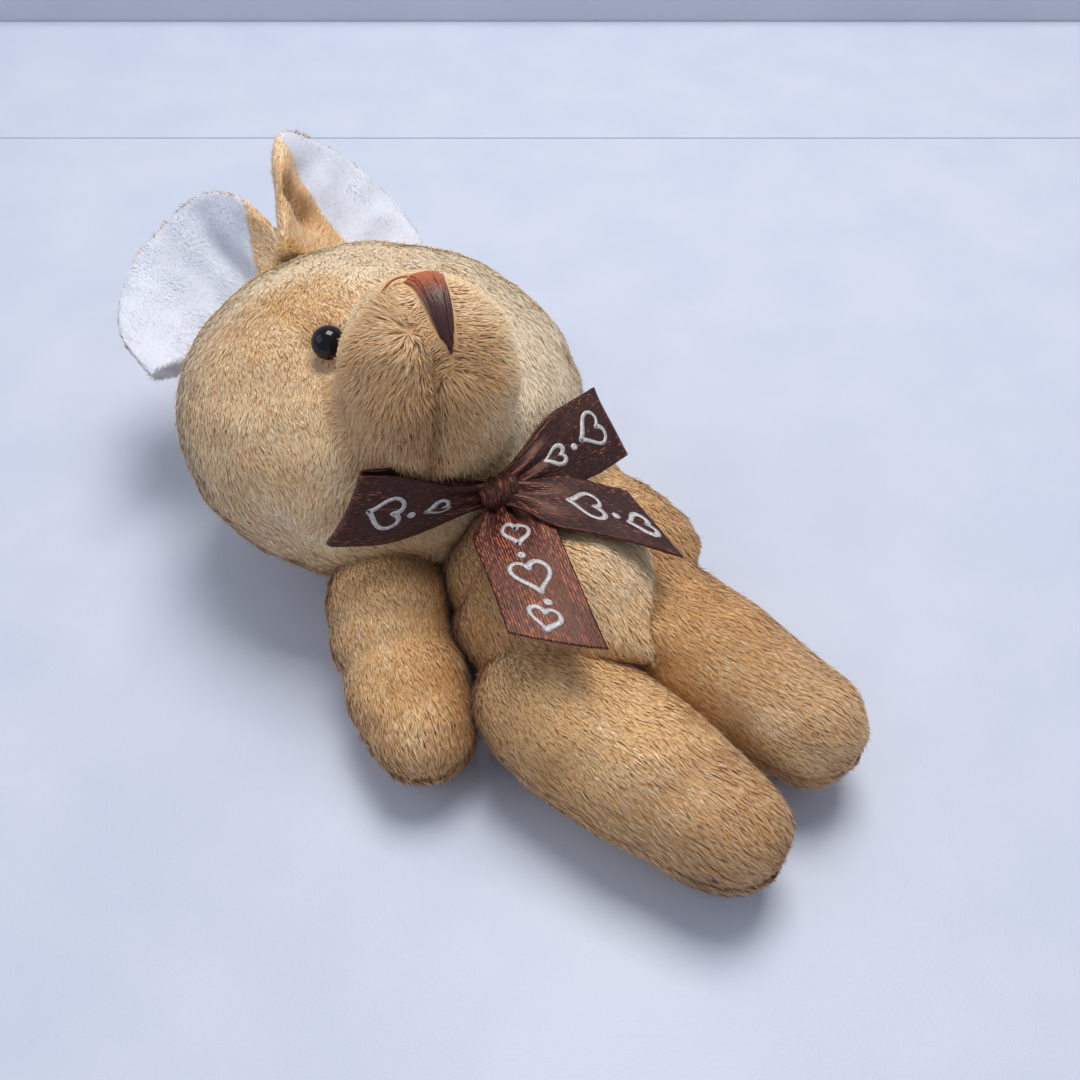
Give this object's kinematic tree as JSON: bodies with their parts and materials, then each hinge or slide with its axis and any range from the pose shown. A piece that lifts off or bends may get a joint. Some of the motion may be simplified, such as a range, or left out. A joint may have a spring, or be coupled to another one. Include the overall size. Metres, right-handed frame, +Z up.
{
  "type": "plush bear keychain",
  "caption": "small stuffed plush bear with a satin ribbon bow, resting on its back, on a sewn tape with a metal split key ring",
  "frame": {"origin": "centre of the flat patch under the torso's back, on the surface that the bear lies on", "axes": "+Z up out of the belly and face, +Y toward the crown and the key ring, +X to the bear's left"},
  "size_m": [0.0597, 0.1352, 0.0526],
  "materials": {
    "plush": "short brushed golden-beige pile",
    "filling": "loose white polyester fibre",
    "nose_thread": "satin-stitched brown thread",
    "eye_bead": "glossy black",
    "washer": "moulded natural nylon",
    "lining": "short white velboa",
    "ribbon": "dark brown satin with a small silver heart print",
    "tape": "woven tape",
    "metal": "nickel plated"
  },
  "bodies": {
    "torso": {"torso_front": "plush", "torso_back": "plush", "torso_filling": "filling", "neck_ribbon": "ribbon", "bow_knot": "ribbon"},
    "head": {"head_front": "plush", "head_back": "plush", "head_filling": "filling", "muzzle_left": "plush", "muzzle_right": "plush", "muzzle_filling": "filling", "nose_stitching": "nose_thread", "eye_left": "eye_bead", "eye_right": "eye_bead", "eye_washers": "washer"},
    "ear_left": {"ear_left_back": "plush", "ear_left_lining": "lining"},
    "ear_right": {"ear_right_back": "plush", "ear_right_lining": "lining"},
    "arm_left": {"arm_left_front": "plush", "arm_left_back": "plush", "arm_left_filling": "filling"},
    "arm_right": {"arm_right_front": "plush", "arm_right_back": "plush", "arm_right_filling": "filling"},
    "leg_left": {"leg_left_front": "plush", "leg_left_back": "plush", "leg_left_filling": "filling"},
    "leg_right": {"leg_right_front": "plush", "leg_right_back": "plush", "leg_right_filling": "filling"},
    "loop_left": {"bow_loop_left": "ribbon"},
    "loop_right": {"bow_loop_right": "ribbon"},
    "tail_front": {"bow_tail_front": "ribbon"},
    "tail_side": {"bow_tail_side": "ribbon"},
    "tape": {"hanging_tape": "tape"},
    "jump_ring": {"jump_ring": "metal"},
    "link": {"chain_link": "metal"},
    "key_ring": {"split_ring": "metal"}
  },
  "joints": [
    {"name": "head_lean", "type": "hinge", "parent": "torso", "child": "head", "pos_m": [0.0012, 0.035, 0.0207], "axis": [0, 0, 1], "range_deg": [-0.5, 4]},
    {"name": "ear_left_fold", "type": "hinge", "parent": "head", "child": "ear_left", "pos_m": [0.0099, 0.0596, 0.0289], "axis": [0.7758, -0.137, -0.6159], "range_deg": [-15, 5]},
    {"name": "ear_right_fold", "type": "hinge", "parent": "head", "child": "ear_right", "pos_m": [-0.0072, 0.0625, 0.026], "axis": [0.8783, -0.092, 0.4692], "range_deg": [-15, 5]},
    {"name": "arm_left_lift", "type": "hinge", "parent": "torso", "child": "arm_left", "pos_m": [0.016, 0.01492, 0.0107], "axis": [-0.9799, -0.1994, 0], "range_deg": [0, 22]},
    {"name": "arm_right_lift", "type": "hinge", "parent": "torso", "child": "arm_right", "pos_m": [-0.0175, 0.01165, 0.0107], "axis": [-0.9367, 0.3502, 0], "range_deg": [0, 22]},
    {"name": "leg_left_lift", "type": "hinge", "parent": "torso", "child": "leg_left", "pos_m": [0.0083, -0.0148, 0.0096], "axis": [-0.9877, -0.1564, 0], "range_deg": [0, 35]},
    {"name": "leg_right_lift", "type": "hinge", "parent": "torso", "child": "leg_right", "pos_m": [-0.0095, -0.0176, 0.0096], "axis": [-0.9877, -0.1564, 0], "range_deg": [0, 35]},
    {"name": "loop_left_flap", "type": "hinge", "parent": "torso", "child": "loop_left", "pos_m": [-0.0025, 0.0052, 0.028], "axis": [0.07, -0.7504, -0.6573], "range_deg": [0, 8]},
    {"name": "loop_right_flap", "type": "hinge", "parent": "torso", "child": "loop_right", "pos_m": [-0.0025, 0.0052, 0.028], "axis": [0.2004, 0.2705, 0.9416], "range_deg": [0, 8]},
    {"name": "tail_front_lift", "type": "hinge", "parent": "torso", "child": "tail_front", "pos_m": [-0.0025, 0.0052, 0.0272], "axis": [-0.9205, 0.3907, 0], "range_deg": [0, 30]},
    {"name": "tail_side_lift", "type": "hinge", "parent": "torso", "child": "tail_side", "pos_m": [-0.0025, 0.0052, 0.0282], "axis": [-0.766, -0.6428, 0], "range_deg": [0, 30]},
    {"name": "tape_lift", "type": "hinge", "parent": "head", "child": "tape", "pos_m": [0.00842, 0.05366, 0.0072], "axis": [0.9272, -0.3746, 0], "range_deg": [0, 10]},
    {"name": "jump_ring_lift", "type": "hinge", "parent": "tape", "child": "jump_ring", "pos_m": [0.01062, 0.0591, 0.0029], "axis": [0.9272, -0.3746, 0], "range_deg": [0, 20]},
    {"name": "link_lift", "type": "hinge", "parent": "jump_ring", "child": "link", "pos_m": [0.01362, 0.06652, 0.0029], "axis": [0.9272, -0.3746, 0], "range_deg": [0, 20]},
    {"name": "key_ring_lift", "type": "hinge", "parent": "link", "child": "key_ring", "pos_m": [0.0146, 0.06895, 0.00355], "axis": [0.9272, -0.3746, 0], "range_deg": [0, 30]}
  ]
}
